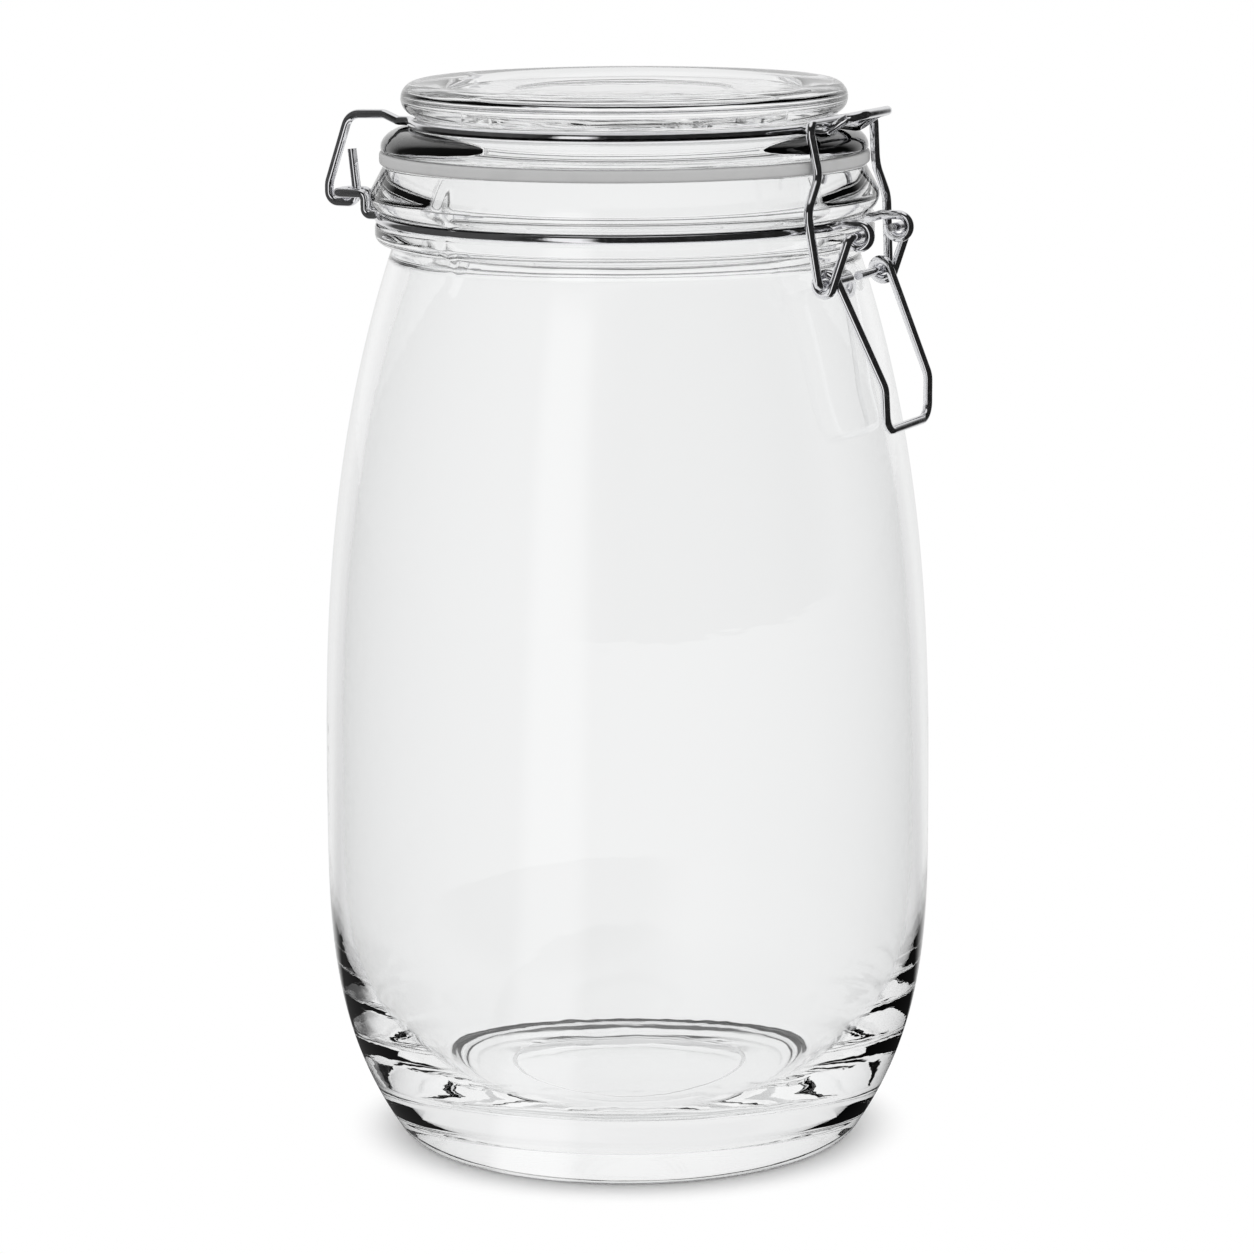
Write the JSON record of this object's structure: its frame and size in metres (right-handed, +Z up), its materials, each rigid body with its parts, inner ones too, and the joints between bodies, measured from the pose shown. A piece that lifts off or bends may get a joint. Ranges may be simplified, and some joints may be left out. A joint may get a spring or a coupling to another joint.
{
  "type": "storage jar with wire bail lid",
  "caption": "Round-shouldered glass storage jar with a hinged glass lid, a rubber gasket and an over-centre wire latch that clamps the lid shut.",
  "frame": {"origin": "centre of the foot's contact plane, on the jar's own axis", "axes": "+Z up along the jar's axis, +X from the axis towards the latch, -X towards the hinge"},
  "size_m": [0.1205, 0.12, 0.2099],
  "materials": {
    "jar_glass": "clear, fire polished",
    "lid_glass": "clear, pressed",
    "gasket_rubber": "pale grey, matt",
    "ring_wire": "bright drawn wire",
    "latch_wire": "bright drawn wire"
  },
  "bodies": {
    "jar": {"jar": "jar_glass", "neck_ring": "ring_wire"},
    "lid": {"lid": "lid_glass", "lid_ring": "ring_wire", "gasket": "gasket_rubber"},
    "lever": {"lever": "latch_wire"},
    "yoke": {"yoke": "latch_wire"}
  },
  "joints": [
    {"name": "lid_hinge", "type": "hinge", "parent": "jar", "child": "lid", "pos_m": [-0.0541, 0, 0.1877], "axis": [0, -1, 0], "range_deg": [0, 200]},
    {"name": "lever_lift", "type": "hinge", "parent": "jar", "child": "lever", "pos_m": [0.05365, 0, 0.1824], "axis": [0, -1, 0], "range_deg": [0, 140], "deforming": ["yoke"]},
    {"name": "yoke_swing", "type": "hinge", "parent": "lever", "child": "yoke", "pos_m": [0.04849, 0, 0.1734], "axis": [0, -1, 0], "range_deg": [-146, 0]}
  ],
  "couplings": [
    {"joint": "yoke_swing", "follows": "lever_lift", "ratio": -1.0357}
  ]
}
